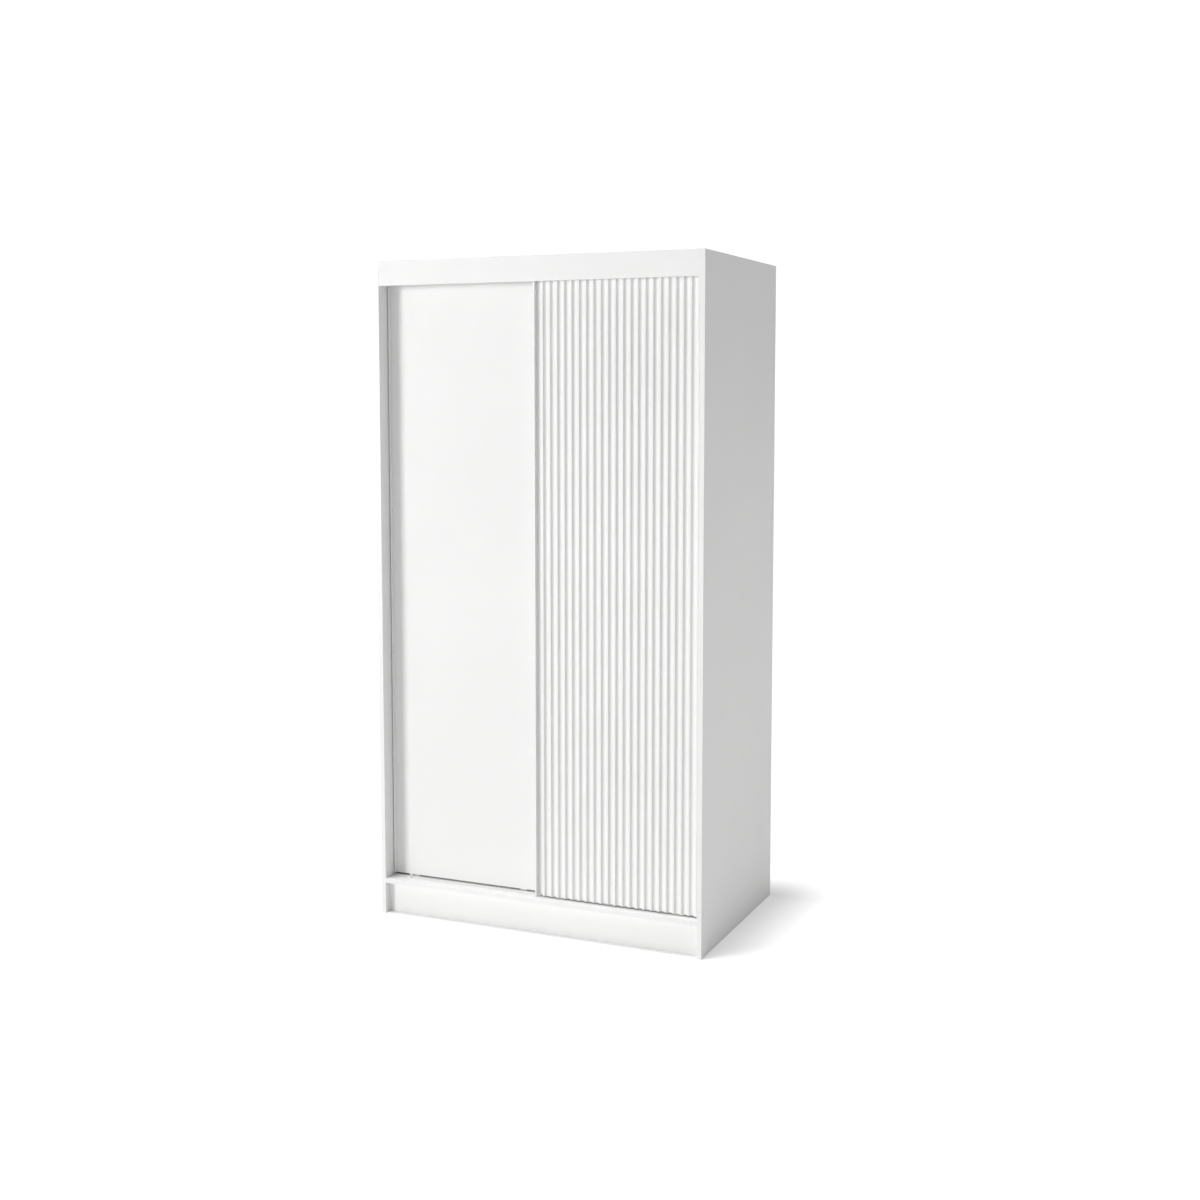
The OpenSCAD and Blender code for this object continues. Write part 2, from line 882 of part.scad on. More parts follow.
module right_door_wheel(i) {
    color(nylon) at_right_door() translate([wheel_xs[i - 1], half_t, 0]) wheel();
}

side_panel_left();
side_panel_right();
top_panel();
bottom_panel();
centre_divider();
fascia();
plinth_front();
plinth_rear();
plinth_brace();
back_sheet_left();
back_sheet_right();
back_joint_strip();
back_nails();
shelf(1);  // shelf_1
shelf(2);  // shelf_2
shelf(3);  // shelf_3
shelf(4);  // shelf_4
shelf(5);  // shelf_5
shelf_pins();
hat_shelf();
hanging_rail();
rail_bracket_left();
rail_bracket_right();
rail_bracket_screws();
top_track();
bottom_track();
track_screws();
track_stops();
cam_locks();
cam_bolts();
dowels();
confirmat_screws();
corner_blocks();
corner_block_screws();
wall_brackets();
wall_bracket_screws();
left_door_board();
left_door_grip();
left_door_roller_housings();
left_door_roller_axles();
left_door_roller_screws();
left_door_top_guides();
left_door_wheel(1);  // left_door_wheel_1
left_door_wheel(2);  // left_door_wheel_2
right_door_board();
right_door_fluted_panel();
right_door_grip();
right_door_roller_housings();
right_door_roller_axles();
right_door_roller_screws();
right_door_top_guides();
right_door_wheel(1);  // right_door_wheel_1
right_door_wheel(2);  // right_door_wheel_2
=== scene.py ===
"""Looks of the sliding door wardrobe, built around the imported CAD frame. Metres, Z up, doors face -Y."""

import json
import math

import bmesh
import bpy
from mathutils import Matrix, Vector


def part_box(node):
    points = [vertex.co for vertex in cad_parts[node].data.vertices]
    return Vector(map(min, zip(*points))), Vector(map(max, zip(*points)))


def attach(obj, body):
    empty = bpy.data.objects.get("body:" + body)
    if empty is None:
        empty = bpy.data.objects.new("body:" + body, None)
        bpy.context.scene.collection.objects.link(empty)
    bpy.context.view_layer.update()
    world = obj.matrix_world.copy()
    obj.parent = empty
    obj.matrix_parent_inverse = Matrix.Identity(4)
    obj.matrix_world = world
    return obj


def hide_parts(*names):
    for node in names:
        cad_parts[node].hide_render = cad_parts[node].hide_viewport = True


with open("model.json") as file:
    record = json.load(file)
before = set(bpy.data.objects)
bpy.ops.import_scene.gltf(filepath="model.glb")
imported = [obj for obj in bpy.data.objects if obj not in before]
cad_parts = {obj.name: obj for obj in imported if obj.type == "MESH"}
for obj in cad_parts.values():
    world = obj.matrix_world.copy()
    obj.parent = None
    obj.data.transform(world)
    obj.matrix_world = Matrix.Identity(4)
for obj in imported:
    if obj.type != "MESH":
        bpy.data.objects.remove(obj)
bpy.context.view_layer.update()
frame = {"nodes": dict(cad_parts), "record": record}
nodes = frame["nodes"]
scene = bpy.context.scene


# ---- Materials ----

NOISE_SPAN = (0.3, 0.7)   # most values of a noise lie between these


class Finish:
    """A node material. Its patterns lie in the piece's own coordinates, so they move with the piece."""

    def __init__(self, name):
        self.material = bpy.data.materials.new(name)
        self.material.use_nodes = True
        self.tree = self.material.node_tree
        self.shader = self.tree.nodes["Principled BSDF"]

    def add(self, kind, **values):
        """A new node with some of its inputs set."""
        node = self.tree.nodes.new(kind)
        for name, value in values.items():
            node.inputs[name].default_value = value
        return node

    def link(self, output, target):
        self.tree.links.new(output, target)

    def set(self, name, value):
        """Sets a socket of the shader to one value for the whole surface."""
        self.shader.inputs[name].default_value = value

    def place(self, stretch=(1, 1, 1)):
        """The piece's coordinates, scaled per axis. A small scale draws a pattern out along that axis."""
        coords = self.add("ShaderNodeTexCoord")
        mapping = self.add("ShaderNodeMapping", Scale=stretch)
        self.link(coords.outputs["Object"], mapping.inputs["Vector"])
        return mapping.outputs["Vector"]

    def noise(self, vector, scale, detail=2, roughness=0.5):
        texture = self.add("ShaderNodeTexNoise", Scale=scale, Detail=detail, Roughness=roughness)
        self.link(vector, texture.inputs["Vector"])
        return texture.outputs["Fac"]

    def spread(self, pattern, low, high):
        """Stretches the middle of a noise to a range of values."""
        node = self.add("ShaderNodeMapRange")
        for name, value in zip(("From Min", "From Max", "To Min", "To Max"), (*NOISE_SPAN, low, high)):
            node.inputs[name].default_value = value
        self.link(pattern, node.inputs["Value"])
        return node.outputs["Result"]

    def mix(self, share, a, b):
        """Mixes two colours. Each is either an RGB triple or the output of another node."""
        node = self.add("ShaderNodeMix")
        node.data_type = "RGBA"
        for name, colour in (("A", a), ("B", b)):
            if isinstance(colour, tuple):
                node.inputs[name].default_value = (*colour, 1)
            else:
                self.link(colour, node.inputs[name])
        self.link(share, node.inputs["Factor"])
        return node.outputs["Result"]

    def tones(self, pattern, dark, light):
        """Colours that go from dark to light with a noise."""
        return self.mix(self.spread(pattern, 0, 1), dark, light)

    def bump(self, height, distance, strength, under=None):
        node = self.add("ShaderNodeBump", Strength=strength, Distance=distance)
        self.link(height, node.inputs["Height"])
        if under is not None:
            self.link(under, node.inputs["Normal"])
        return node.outputs["Normal"]

    def finished(self, colour, roughness, normal):
        """Links the three patterns to the shader and returns the material."""
        self.link(colour, self.shader.inputs["Base Color"])
        self.link(roughness, self.shader.inputs["Roughness"])
        self.link(normal, self.shader.inputs["Normal"])
        return self.material


def melamine(name):
    """Melamine-faced board: a fine pearl texture, slow tone changes and slightly uneven gloss."""
    finish = Finish(name)
    here = finish.place()
    finish.set("Specular IOR Level", 0.4)
    colour = finish.tones(finish.noise(here, 2.2, 3), (0.865, 0.865, 0.86), (0.885, 0.885, 0.88))
    gloss = finish.spread(finish.noise(here, 60, 3), 0.42, 0.52)
    pearl = finish.bump(finish.noise(here, 1400), 0.00004, 0.5)
    waves = finish.bump(finish.noise(here, 7), 0.0003, 0.12, pearl)
    return finish.finished(colour, gloss, waves)


def edge_band(name):
    """Plastic edge band: a touch glossier than the board's face, with a fine grain."""
    finish = Finish(name)
    here = finish.place()
    colour = finish.tones(finish.noise(here, 14, 3), (0.865, 0.865, 0.86), (0.89, 0.89, 0.885))
    gloss = finish.spread(finish.noise(here, 120, 3), 0.32, 0.44)
    grain = finish.bump(finish.noise(here, 500), 0.00004, 0.4)
    return finish.finished(colour, gloss, grain)


def chipboard(name):
    """Raw chipboard in the drilled holes: rough chips from tan to dark brown."""
    finish = Finish(name)
    chips = finish.place((1, 1, 1.6))
    finish.set("Roughness", 0.85)
    colour = finish.tones(finish.noise(chips, 600, 4, 0.7), (0.30, 0.21, 0.13), (0.62, 0.48, 0.33))
    rough = finish.bump(finish.noise(chips, 900, 3, 0.7), 0.0003, 0.8)
    finish.link(colour, finish.shader.inputs["Base Color"])
    finish.link(rough, finish.shader.inputs["Normal"])
    return finish.material


def foil(name):
    """Foil over milled flutes: faint draw lines along the flutes and a satin sheen."""
    finish = Finish(name)
    lines = finish.place((1, 1, 0.01))
    here = finish.place()
    finish.set("Specular IOR Level", 0.4)
    colour = finish.tones(finish.noise(here, 3, 3), (0.87, 0.87, 0.865), (0.89, 0.89, 0.885))
    gloss = finish.spread(finish.noise(lines, 500, 3), 0.36, 0.5)
    drawn = finish.bump(finish.noise(lines, 900), 0.00003, 0.35)
    grain = finish.bump(finish.noise(here, 1200), 0.00003, 0.35, drawn)
    return finish.finished(colour, gloss, grain)


def hardboard(name):
    """Lacquered hardboard: pale, with fibre flecks under the lacquer."""
    finish = Finish(name)
    here = finish.place()
    fibres = finish.place((1, 1, 0.35))
    coarse = finish.tones(finish.noise(here, 9, 4), (0.80, 0.79, 0.765), (0.85, 0.845, 0.83))
    flecks = finish.spread(finish.noise(fibres, 420, 4, 0.7), 0.0, 0.35)
    colour = finish.mix(flecks, coarse, (0.74, 0.72, 0.68))
    gloss = finish.spread(finish.noise(here, 150, 3), 0.5, 0.68)
    relief = finish.bump(finish.noise(fibres, 700, 3, 0.6), 0.00008, 0.6)
    return finish.finished(colour, gloss, relief)


def powder_coat(name):
    """White powder coat on an extrusion: fine orange peel and a soft gloss."""
    finish = Finish(name)
    here = finish.place()
    colour = finish.tones(finish.noise(here, 40, 3), (0.86, 0.86, 0.86), (0.89, 0.89, 0.89))
    gloss = finish.spread(finish.noise(here, 300, 3), 0.28, 0.4)
    peel = finish.bump(finish.noise(here, 900), 0.00005, 0.5)
    return finish.finished(colour, gloss, peel)


def brushed_metal(name, dark, light, stretch, low, high, scale):
    """Metal with fine lines along the axis that the stretch draws them out on."""
    finish = Finish(name)
    lines = finish.place(stretch)
    here = finish.place()
    finish.set("Metallic", 1.0)
    colour = finish.tones(finish.noise(here, 45, 3), dark, light)
    gloss = finish.spread(finish.noise(lines, scale, 3), low, high)
    brushing = finish.bump(finish.noise(lines, scale), 0.00002, 0.4)
    return finish.finished(colour, gloss, brushing)


def moulded(name, dark, light, low, high, subsurface=0.0):
    """Moulded plastic with a fine spark-eroded grain."""
    finish = Finish(name)
    here = finish.place()
    finish.set("Subsurface Weight", subsurface)
    finish.set("Subsurface Radius", (0.002, 0.002, 0.002))
    finish.set("Subsurface Scale", 1.0)
    colour = finish.tones(finish.noise(here, 90), dark, light)
    gloss = finish.spread(finish.noise(here, 400), low, high)
    grain = finish.bump(finish.noise(here, 2200), 0.00003, 0.5)
    return finish.finished(colour, gloss, grain)


def beech_wood(name):
    """Beech with its grain along X."""
    finish = Finish(name)
    grain = finish.place((0.12, 1, 1))
    colour = finish.tones(finish.noise(grain, 700, 4, 0.6), (0.50, 0.33, 0.17), (0.68, 0.49, 0.29))
    gloss = finish.spread(finish.noise(grain, 300), 0.5, 0.65)
    pores = finish.bump(finish.noise(grain, 900), 0.00006, 0.6)
    return finish.finished(colour, gloss, pores)


CHROME_TONES = ((0.80, 0.81, 0.82), (0.84, 0.85, 0.86))
ZINC_TONES = ((0.60, 0.62, 0.64), (0.72, 0.73, 0.74))
PLASTIC_TONES = ((0.80, 0.80, 0.79), (0.83, 0.83, 0.82))
NYLON_TONES = ((0.72, 0.71, 0.68), (0.77, 0.76, 0.73))

finishes = {
    "white_board": melamine("white_board"),
    "edge_band": edge_band("edge_band"),
    "chipboard": chipboard("chipboard"),
    "fluted_mdf": foil("fluted_mdf"),
    "back_sheet": hardboard("back_sheet"),
    "grip_profile": powder_coat("grip_profile"),
    "track": powder_coat("track"),
    "white_plastic": moulded("white_plastic", *PLASTIC_TONES, low=0.42, high=0.55),
    "wheel_nylon": moulded("wheel_nylon", *NYLON_TONES, low=0.35, high=0.48, subsurface=0.2),
    "chrome": brushed_metal("chrome", *CHROME_TONES, (0.02, 1, 1), low=0.06, high=0.13, scale=1200),
    "zinc_steel": brushed_metal("zinc_steel", *ZINC_TONES, (1, 1, 0.2), low=0.3, high=0.45, scale=800),
    "beech": beech_wood("beech"),
}
slot_of = {row["node"]: row["material_slot"] for row in frame["record"]["subparts"]}


def dress(obj, slot):
    """Gives a piece the finish of one material slot."""
    obj.data.materials.clear()
    obj.data.materials.append(finishes[slot])


# ---- Mesh helpers ----

ROD_SIDES = 32
WELD = 0.000001           # points closer than this are one point
SHARED = 0.0001           # two boxes touch if they overlap by more than this on every axis


def add_object(name, mesh):
    """A linked object from a bmesh."""
    data = bpy.data.meshes.new(name)
    mesh.to_mesh(data)
    mesh.free()
    obj = bpy.data.objects.new(name, data)
    scene.collection.objects.link(obj)
    return obj


def smooth(obj, degrees=35):
    """Smooth shading with flat faces kept flat and every edge over the given angle kept sharp."""
    for polygon in obj.data.polygons:
        polygon.use_smooth = True
    obj.data.set_sharp_from_angle(angle=math.radians(degrees))
    even = obj.modifiers.new("even", "WEIGHTED_NORMAL")
    even.keep_sharp = True


def stand_for(obj, body, node):
    """The piece moves with a body and takes a CAD node's place."""
    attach(obj, body)
    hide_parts(node)


def rod(mesh, start, end, radius):
    """Adds a closed cylinder from start to end."""
    run = end - start
    made = bmesh.ops.create_cone(
        mesh, cap_ends=True, segments=ROD_SIDES, radius1=radius, radius2=radius, depth=run.length
    )
    turn = run.to_track_quat("Z", "Y").to_matrix().to_4x4()
    turn.translation = (start + end) / 2
    bmesh.ops.transform(mesh, matrix=turn, verts=made["verts"])


def block(mesh, low, high):
    """Adds a closed box between two corners."""
    made = bmesh.ops.create_cube(mesh, size=1)
    for v in made["verts"]:
        v.co = [low[i] if v.co[i] < 0 else high[i] for i in range(3)]


def solids_of(node):
    """The lowest and highest corner of each separate solid of a CAD node."""
    mesh = bmesh.new()
    mesh.from_mesh(nodes[node].data)
    bmesh.ops.remove_doubles(mesh, verts=mesh.verts, dist=WELD)
    left = set(mesh.verts)
    boxes = []
    while left:
        edge = [left.pop()]
        group = list(edge)
        while edge:
            near = {e.other_vert(v) for v in edge for e in v.link_edges}
            edge = [v for v in near if v in left]
            left.difference_update(edge)
            group += edge
        corners = [[pick(v.co[i] for v in group) for i in range(3)] for pick in (min, max)]
        boxes.append((Vector(corners[0]), Vector(corners[1])))
    mesh.free()
    return sorted(boxes, key=lambda b: tuple(b[0]))


def touch(a, b):
    """True if two boxes, each a pair of corners, share some space."""
    return all(a[0][i] < b[1][i] - SHARED and b[0][i] < a[1][i] - SHARED for i in range(3))


# ---- CAD nodes that keep their shape ----

for name, obj in nodes.items():
    dress(obj, slot_of[name])


# ---- Boards: rounded edge bands, and every hole and pocket that the fittings need ----

BAND_R = 0.0007           # rounding of a board's edges
BAND_STEPS = 3            # segments of that rounding
FLAT = 0.99               # a normal's share along the thin axis on a board's two large faces
FACE, EDGE, HOLE = range(3)    # a board's material slots
PLAY = 0.0001             # gap between a fitting and its hole
PAST = 0.002              # how far a cut runs past a face
PIN_COLLAR_R = 0.0045     # a shelf pin's collar, its shank and how far the shank goes into a board
PIN_R = 0.0025
PIN_DEEP = 0.008
PIN_ROW = 0.032           # from one row of pin holes to the next
HEAD_R = 0.005            # a confirmat screw's head and shank
HEAD_H = 0.003
SHANK_R = 0.0025
ROLLER_BLOCK = (0.040, 0.009, 0.019)    # length, depth and height of the fittings let into a door
ROLLER_PLATE = (0.070, 0.010, 0.002)
GUIDE_BLOCK = (0.030, 0.009, 0.016)
GRIP_WEB = 0.0016         # thickness of the grip's web on the door's edge
SPINE_REACH = 0.0076      # how far the grip's spine reaches in from the door's edge
SPINE_T = 0.0024          # thickness of the spine

fittings = {name: solids_of(name) for name in (
    "cam_locks", "cam_bolts", "dowels", "confirmat_screws", "shelf_pins", "bottom_track",
    "left_door_roller_housings", "left_door_top_guides",
    "right_door_roller_housings", "right_door_top_guides",
)}


def along(box, axis, start, end, radius, mesh):
    """Adds a rod through the middle of a box, from start to end on one axis."""
    middle = (box[0] + box[1]) / 2
    a, b = middle.copy(), middle.copy()
    a[axis], b[axis] = start, end
    rod(mesh, a, b, radius)


def cut_cams(mesh, board):
    """A blind bore for each cam lock, open at the face that the lock is flush with."""
    for cam in fittings["cam_locks"]:
        if touch(cam, board):
            size = cam[1] - cam[0]
            axis = min(range(3), key=lambda i: size[i])
            flush_high = board[1][axis] - cam[1][axis] < cam[0][axis] - board[0][axis]
            start = cam[0][axis] - PLAY if flush_high else board[0][axis] - PAST
            end = board[1][axis] + PAST if flush_high else cam[1][axis] + PLAY
            along(cam, axis, start, end, size[(axis + 1) % 3] / 2 + PLAY, mesh)


def cut_rods(mesh, board):
    """Bores for the cam bolts, the dowels and the screws' shanks."""
    for name in ("cam_bolts", "dowels", "confirmat_screws"):
        for fitting in fittings[name]:
            if touch(fitting, board):
                size = fitting[1] - fitting[0]
                axis = max(range(3), key=lambda i: size[i])
                radius = SHANK_R if name == "confirmat_screws" else size[(axis + 1) % 3] / 2
                start = fitting[0][axis] - PLAY
                end = fitting[1][axis] + PLAY
                along(fitting, axis, start, end, radius + PLAY, mesh)


def cut_screw_heads(mesh, board):
    """Counterbores of the screws whose heads are flush with the board's top or underside."""
    for screw in fittings["confirmat_screws"]:
        if abs(screw[1].z - board[1].z) < PLAY:
            along(screw, 2, board[1].z - HEAD_H - PLAY, board[1].z + PAST, HEAD_R + PLAY, mesh)
        if abs(screw[0].z - board[0].z) < PLAY:
            along(screw, 2, board[0].z - PAST, board[0].z + HEAD_H + PLAY, HEAD_R + PLAY, mesh)


def cut_pin_holes(mesh, board):
    """Holes in the board that a shelf pin goes into, with a spare hole above and below each."""
    for pin in fittings["shelf_pins"]:
        for side, way in ((0, -1), (1, 1)):
            face = board[side].x
            if touch(pin, board) and pin[0].x < face < pin[1].x:
                for row in (-PIN_ROW, 0, PIN_ROW):
                    centre = Vector((face, pin[0].y + PIN_COLLAR_R, pin[0].z + PIN_COLLAR_R + row))
                    deep = centre - Vector((way * (PIN_DEEP + PLAY), 0, 0))
                    rod(mesh, deep, centre + Vector((way * PAST, 0, 0)), PIN_R + PLAY)


def cut_track_grooves(mesh, board):
    """Grooves along the bottom panel for the channels that the door wheels run in."""
    for track in fittings["bottom_track"]:
        if touch(track, board):
            block(mesh, (board[0].x - PAST, track[0].y - PLAY, track[0].z - PLAY),
                  (board[1].x + PAST, track[1].y + PLAY, board[1].z + PAST))


def middle_block(mesh, box, size, low_z, high_z):
    """A pocket of a fitting: centred on it along the door, between two heights."""
    centre = (box[0] + box[1]) / 2
    half = Vector((size[0] / 2 + PLAY, size[1] / 2 + PLAY, 0))
    block(mesh, (*(centre - half).xy, low_z), (*(centre + half).xy, high_z))


def cut_foot(mesh, board, door, size):
    """Pockets of one size in a door board's lower edge, at each roller housing."""
    for box in fittings[door + "_roller_housings"]:
        middle_block(mesh, box, size, board[0].z - PAST, board[0].z + size[2] + PLAY)


def cut_head(mesh, board, door, size):
    """Pockets of one size in a door board's upper edge, at each top guide."""
    for box in fittings[door + "_top_guides"]:
        middle_block(mesh, box, size, board[1].z - size[2] - PLAY, board[1].z + PAST)


def cut_grip_groove(mesh, board):
    """The groove in a door's left edge that takes the grip's spine."""
    middle = (board[0].y + board[1].y) / 2
    edge = board[0].x
    half = SPINE_T / 2 + PLAY
    block(mesh, (edge - PAST, middle - half, board[0].z - PAST),
          (edge + SPINE_REACH - GRIP_WEB + PLAY, middle + half, board[1].z + PAST))


def door_cuts(door):
    """The cuts of a door board, in groups: the shapes of one group don't overlap each other."""
    def pockets(mesh, board):
        cut_foot(mesh, board, door, ROLLER_BLOCK)
        cut_head(mesh, board, door, GUIDE_BLOCK)

    def plate_seats(mesh, board):
        cut_foot(mesh, board, door, ROLLER_PLATE)

    return pockets, plate_seats, cut_grip_groove


def add_board(node, body, cuts):
    """A board in a CAD board's own box, with melamine faces, rounded edge bands and its cuts."""
    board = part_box(node)
    size = board[1] - board[0]
    thin = min(range(3), key=lambda i: size[i])
    mesh = bmesh.new()
    block(mesh, *board)
    bmesh.ops.bevel(
        mesh, geom=list(mesh.edges), offset=BAND_R, segments=BAND_STEPS, profile=0.5, affect="EDGES"
    )
    bmesh.ops.recalc_face_normals(mesh, faces=mesh.faces)
    obj = add_object(node + "_board", mesh)
    for finish in ("white_board", "edge_band", "chipboard"):
        obj.data.materials.append(finishes[finish])
    for polygon in obj.data.polygons:
        polygon.material_index = FACE if abs(polygon.normal[thin]) > FLAT else EDGE
    drill(obj, board, cuts)
    smooth(obj)
    stand_for(obj, body, node)


def drill(obj, board, cuts):
    """Cuts each group of shapes out of a board; the new faces show raw chipboard."""
    tools = []
    for cut in cuts:
        mesh = bmesh.new()
        cut(mesh, board)
        if not mesh.faces:
            mesh.free()
            continue
        tool = add_object("tool", mesh)
        for material in obj.data.materials:
            tool.data.materials.append(material)
        for polygon in tool.data.polygons:
            polygon.material_index = HOLE
        step = obj.modifiers.new("cut", "BOOLEAN")
        step.operation = "DIFFERENCE"
        step.solver = "EXACT"
        step.object = tool
        tools.append(tool)
    if tools:
        bpy.context.view_layer.update()
        cut_board = obj.evaluated_get(bpy.context.evaluated_depsgraph_get())
        obj.data = bpy.data.meshes.new_from_object(cut_board)
        obj.modifiers.clear()
    for tool in tools:
        bpy.data.objects.remove(tool)


CARCASS_CUTS = (cut_cams, cut_rods, cut_screw_heads, cut_pin_holes, cut_track_grooves)
DOORS = ("left_door", "right_door")

for name in frame["record"]["behaviour"]["bodies"]["carcass"]:
    if slot_of[name] == "white_board":
        add_board(name, "carcass", CARCASS_CUTS)
for door in DOORS:
    add_board(door + "_board", door, door_cuts(door))


# ---- Fluted panel and grips: fine extrusions ----

FLUTE_PITCH = 0.0217
FLUTE_LAND = 0.0052       # flat strip between two flutes
FLUTE_DEEP = 0.0064
FLUTE_EASE = 0.0005       # radius of the arc that eases the edge between a flute and a land
EASE_STEPS = 4            # segments of that arc
ARC_STEPS = 16            # segments of a flute's own arc
SEAM = 0.0005             # distance of an extrusion's end seams from its ends


def flute_section(width, thickness):
    """Points of the panel's front from left to right, as (x, y).

    y is 0 at the back and -thickness on the lands. Each flute is one arc between two eased edges.
    """
    groove = FLUTE_PITCH - FLUTE_LAND
    radius = (groove * groove / 4 + FLUTE_DEEP * FLUTE_DEEP) / (2 * FLUTE_DEEP)
    slope = math.asin(groove / 2 / radius)
    trim = FLUTE_EASE * math.tan(slope / 2)
    rim = slope - trim / radius
    points = [(0.0, -thickness)]
    x0 = FLUTE_LAND
    while x0 < width:
        x1 = x0 + groove
        centre = (x0 + groove / 2, -thickness + FLUTE_DEEP - radius)
        for k in range(EASE_STEPS + 1):
            a = slope * k / EASE_STEPS
            drop = FLUTE_EASE * (1 - math.cos(a))
            points.append((x0 - trim + FLUTE_EASE * math.sin(a), -thickness + drop))
        for k in range(1, ARC_STEPS):
            a = -rim + 2 * rim * k / ARC_STEPS
            points.append((centre[0] + radius * math.sin(a), centre[1] + radius * math.cos(a)))
        for k in range(EASE_STEPS + 1):
            a = slope * (1 - k / EASE_STEPS)
            drop = FLUTE_EASE * (1 - math.cos(a))
            points.append((x1 + trim - FLUTE_EASE * math.sin(a), -thickness + drop))
        x0 += FLUTE_PITCH
    return cut_off(points, width, -thickness)


def cut_off(points, width, land_y):
    """The points up to a width, with a last one exactly at that width."""
    kept = [p for p in points if p[0] <= width]
    x, y = kept[-1]
    if x < width:
        after = points[len(kept)] if len(kept) < len(points) else (width, land_y)
        share = (width - x) / (after[0] - x)
        kept.append((width, y + share * (after[1] - y)))
    return kept


def round_corners(corners, steps=5):
    """An outline with an arc at each corner, from (x, y, radius) in order round the outline."""
    points = []
    for i, (x, y, radius) in enumerate(corners):
        here = Vector((x, y))
        before = (Vector(corners[i - 1][:2]) - here).normalized()
        after = (Vector(corners[(i + 1) % len(corners)][:2]) - here).normalized()
        half = before.angle(after) / 2
        centre = here + (before + after).normalized() * radius / math.sin(half)
        start = (here + before * radius / math.tan(half) - centre).normalized()
        end = (here + after * radius / math.tan(half) - centre).normalized()
        for k in range(steps + 1):
            points.append(tuple(centre + radius * start.slerp(end, k / steps)))
    return points


def extrude_section(name, outline, z_low, z_high):
    """A closed solid from an outline in X and Y; the seams near its ends hold the shading flat."""
    mesh = bmesh.new()
    rings = []
    for z in (z_low, z_low + SEAM, z_high - SEAM, z_high):
        rings.append([mesh.verts.new((x, y, z)) for x, y in outline])
    count = len(outline)
    for low, high in zip(rings, rings[1:]):
        for i in range(count):
            j = (i + 1) % count
            mesh.faces.new((low[i], low[j], high[j], high[i]))
    mesh.faces.new(list(reversed(rings[0])))
    mesh.faces.new(rings[-1])
    bmesh.ops.recalc_face_normals(mesh, faces=mesh.faces)
    return add_object(name, mesh)


def finish_extrusion(obj, body, node, slot):
    """Smooths an extrusion, gives it its finish and puts it in the place of a CAD node."""
    smooth(obj)
    dress(obj, slot)
    stand_for(obj, body, node)


def add_flutes():
    """The fluted panel in front of the right door's board."""
    low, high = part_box("right_door_fluted_panel")
    front = flute_section(high.x - low.x, high.y - low.y)
    outline = [(low.x + x, high.y + y) for x, y in front] + [(high.x, high.y), (low.x, high.y)]
    flutes = extrude_section("right_door_flutes", outline, low.z, high.z)
    finish_extrusion(flutes, "right_door", "right_door_fluted_panel", "fluted_mdf")


LIP_W = 0.0046            # width of the grip's lip
LIP_ROUND = 0.0008        # rounding of its two front edges
HEEL_ROUND = 0.0002       # rounding where the lip meets the board
SCOOP_DEEP = 0.0022       # depth of the finger hollow in the lip's side
SCOOP_SHORT = 0.001       # how much its radius falls short of half the lip
WEB_ROUND = 0.0003        # rounding of the web's inner rear edge
BACK_ROUND = 0.0006       # rounding of its outer rear edge
SPINE_ROUND = 0.0004      # rounding of the spine's tip
CRISP = 0.0001            # rounding of all other corners


def scoop(side, front, back, steps=10):
    """Corners of the finger hollow in the lip's right side, from front to back."""
    radius = (back - front) / 2 - SCOOP_SHORT
    middle = Vector((side + radius - SCOOP_DEEP, (front + back + LIP_ROUND) / 2))
    reach = math.acos((radius - SCOOP_DEEP) / radius)
    corners = []
    for k in range(steps + 1):
        a = reach * (2 * k / steps - 1)
        corners.append((middle.x - radius * math.cos(a), middle.y + radius * math.sin(a), CRISP))
    return corners


def add_grip(door):
    """Hollowed lip in front of the board's edge, web on the edge and spine in the board's groove."""
    low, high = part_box(door + "_grip")
    board_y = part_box(door + "_board")[0].y
    lip_x = low.x + LIP_W
    web_x = low.x + GRIP_WEB
    tip_x = low.x + SPINE_REACH
    spine_y = (board_y + high.y) / 2
    spine_front = spine_y - SPINE_T / 2
    spine_back = spine_y + SPINE_T / 2
    corners = [
        (low.x, low.y, LIP_ROUND),
        (lip_x, low.y, LIP_ROUND),
        *scoop(lip_x, low.y, board_y),
        (lip_x, board_y, HEEL_ROUND),
        (web_x, board_y, CRISP),
        (web_x, spine_front, CRISP),
        (tip_x, spine_front, SPINE_ROUND),
        (tip_x, spine_back, SPINE_ROUND),
        (web_x, spine_back, CRISP),
        (web_x, high.y, WEB_ROUND),
        (low.x, high.y, BACK_ROUND),
    ]
    grip = extrude_section(door + "_grip_profile", round_corners(corners), low.z, high.z)
    finish_extrusion(grip, door, door + "_grip", "grip_profile")


add_flutes()
for door in DOORS:
    add_grip(door)


# ---- Floor, light and camera ----

FLOOR_SIZE = 60           # half of the floor's side
FLOOR_GAP = 0.0002        # the floor lies this far under the object
PAPER_TONES = ((0.89, 0.89, 0.89), (0.91, 0.91, 0.91))   # what the floor bounces
PAPER_SEEN = (0.97, 0.97, 0.97)    # the floor's colour for the lens
PAPER_GLOW = 0.27         # light that the floor adds for the lens only


def camera_ray(tree):
    """1 for what the lens sees directly, and 0 for the light that surfaces send each other."""
    return tree.nodes.new("ShaderNodeLightPath").outputs["Is Camera Ray"]


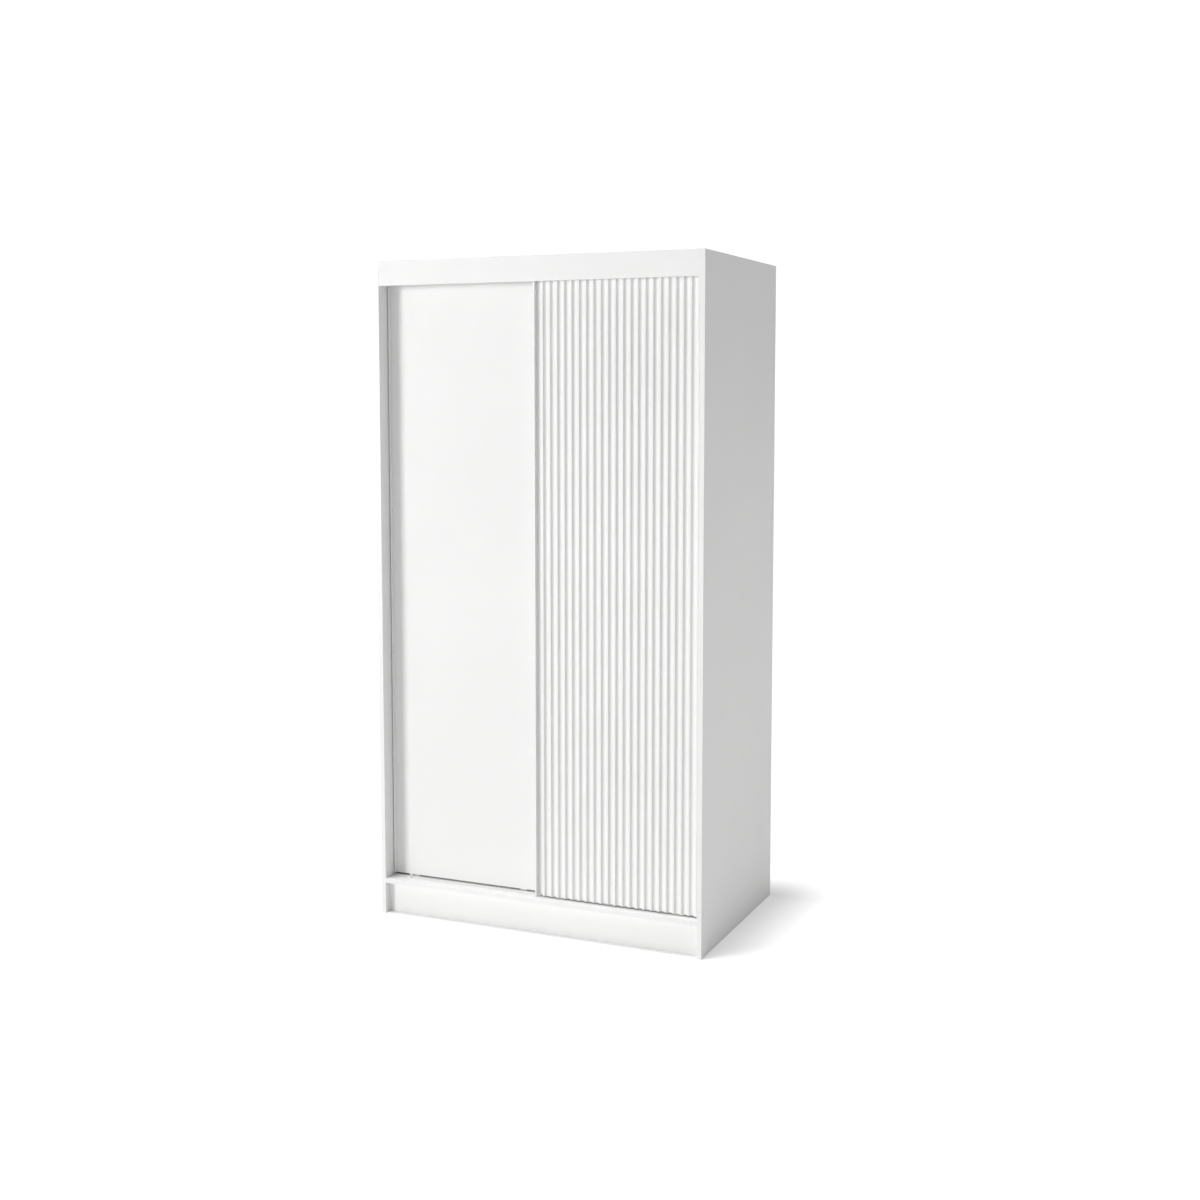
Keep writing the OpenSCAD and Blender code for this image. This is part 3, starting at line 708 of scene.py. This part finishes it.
def add_floor():
    """A pale floor. A little whiter for the lens than for the light that it bounces."""
    mesh = bmesh.new()
    bmesh.ops.create_grid(mesh, x_segments=1, y_segments=1, size=FLOOR_SIZE)
    floor = add_object("studio_floor", mesh)
    floor.location = (0, 0, -FLOOR_GAP)
    finish = Finish("studio_floor")
    paper = finish.mix(finish.noise(finish.place(), 0.8), *PAPER_TONES)
    colour = finish.mix(camera_ray(finish.tree), paper, PAPER_SEEN)
    finish.link(colour, finish.shader.inputs["Base Color"])
    glow = finish.add("ShaderNodeMath")
    glow.operation = "MULTIPLY"
    glow.inputs[1].default_value = PAPER_GLOW
    finish.link(camera_ray(finish.tree), glow.inputs[0])
    finish.link(glow.outputs["Value"], finish.shader.inputs["Emission Strength"])
    finish.set("Emission Color", (1, 1, 1, 1))
    finish.set("Roughness", 0.9)
    finish.set("Specular IOR Level", 0.1)
    floor.data.materials.append(finish.material)


def add_world(lighting, seen):
    """Even white surroundings: one strength lights the object, the other is what the lens sees."""
    world = bpy.data.worlds.new("studio")
    world.use_nodes = True
    tree = world.node_tree
    tree.nodes.clear()
    out = tree.nodes.new("ShaderNodeOutputWorld")
    mix = tree.nodes.new("ShaderNodeMixShader")
    tree.links.new(camera_ray(tree), mix.inputs["Fac"])
    for socket, strength in ((1, lighting), (2, seen)):
        background = tree.nodes.new("ShaderNodeBackground")
        background.inputs["Color"].default_value = (1, 1, 1, 1)
        background.inputs["Strength"].default_value = strength
        tree.links.new(background.outputs["Background"], mix.inputs[socket])
    tree.links.new(mix.outputs["Shader"], out.inputs["Surface"])
    scene.world = world


def add_lamp(data, back):
    """Links a light that shines away from the back vector."""
    lamp = bpy.data.objects.new(data.name, data)
    scene.collection.objects.link(lamp)
    lamp.rotation_mode = "QUATERNION"
    lamp.rotation_quaternion = back.to_track_quat("Z", "Y")
    return lamp


def add_sun(name, azimuth, elevation, strength, softness):
    """A soft distant light. Azimuth 0 is in front of the doors and 90 on their left."""
    data = bpy.data.lights.new(name, "SUN")
    data.energy = strength
    data.angle = math.radians(softness)
    turn = math.radians(azimuth)
    rise = math.radians(elevation)
    add_lamp(data, Vector((
        -math.sin(turn) * math.cos(rise),
        -math.cos(turn) * math.cos(rise),
        math.sin(rise),
    )))


def add_panel(name, stand, aim, strength, size):
    """A round softbox that the lens doesn't see.

    It gives the aimed point, faced squarely, the stated strength in watts per square metre.
    """
    data = bpy.data.lights.new(name, "AREA")
    data.shape = "DISK"
    data.size = size
    back = Vector(stand) - Vector(aim)
    data.energy = strength * math.pi * back.length_squared
    lamp = add_lamp(data, back)
    lamp.location = stand
    lamp.visible_camera = False


def add_camera(stand, lens, shift, down, heading):
    """The camera, turned from looking along +Y by a heading to the left and a few degrees down."""
    data = bpy.data.cameras.new("camera")
    data.sensor_width = 36
    data.lens = lens
    data.shift_y = shift
    data.clip_end = 200
    camera = bpy.data.objects.new("camera", data)
    scene.collection.objects.link(camera)
    camera.location = stand
    camera.rotation_euler = (math.radians(90 - down), 0, math.radians(heading))
    scene.camera = camera


add_floor()
add_world(lighting=0.27, seen=1.08)
add_sun("top", azimuth=50, elevation=85.5, strength=1.6, softness=6)
add_panel("key", stand=(-9.7, -12.5, 2.5), aim=(0, 0, 1), strength=1.47, size=4.8)
add_panel("fill", stand=(-0.4, -2.8, 0.56), aim=(0, -0.3, 0.6), strength=0.16, size=1.1)
add_panel("side", stand=(3.0, 0.1, 0.42), aim=(0.5, 0, 0.5), strength=0.42, size=0.8)
add_camera(stand=(1.919, -4.255, 1.515), lens=47.76, shift=-0.0483, down=5.2, heading=23.526)
scene.view_settings.view_transform = "Standard"
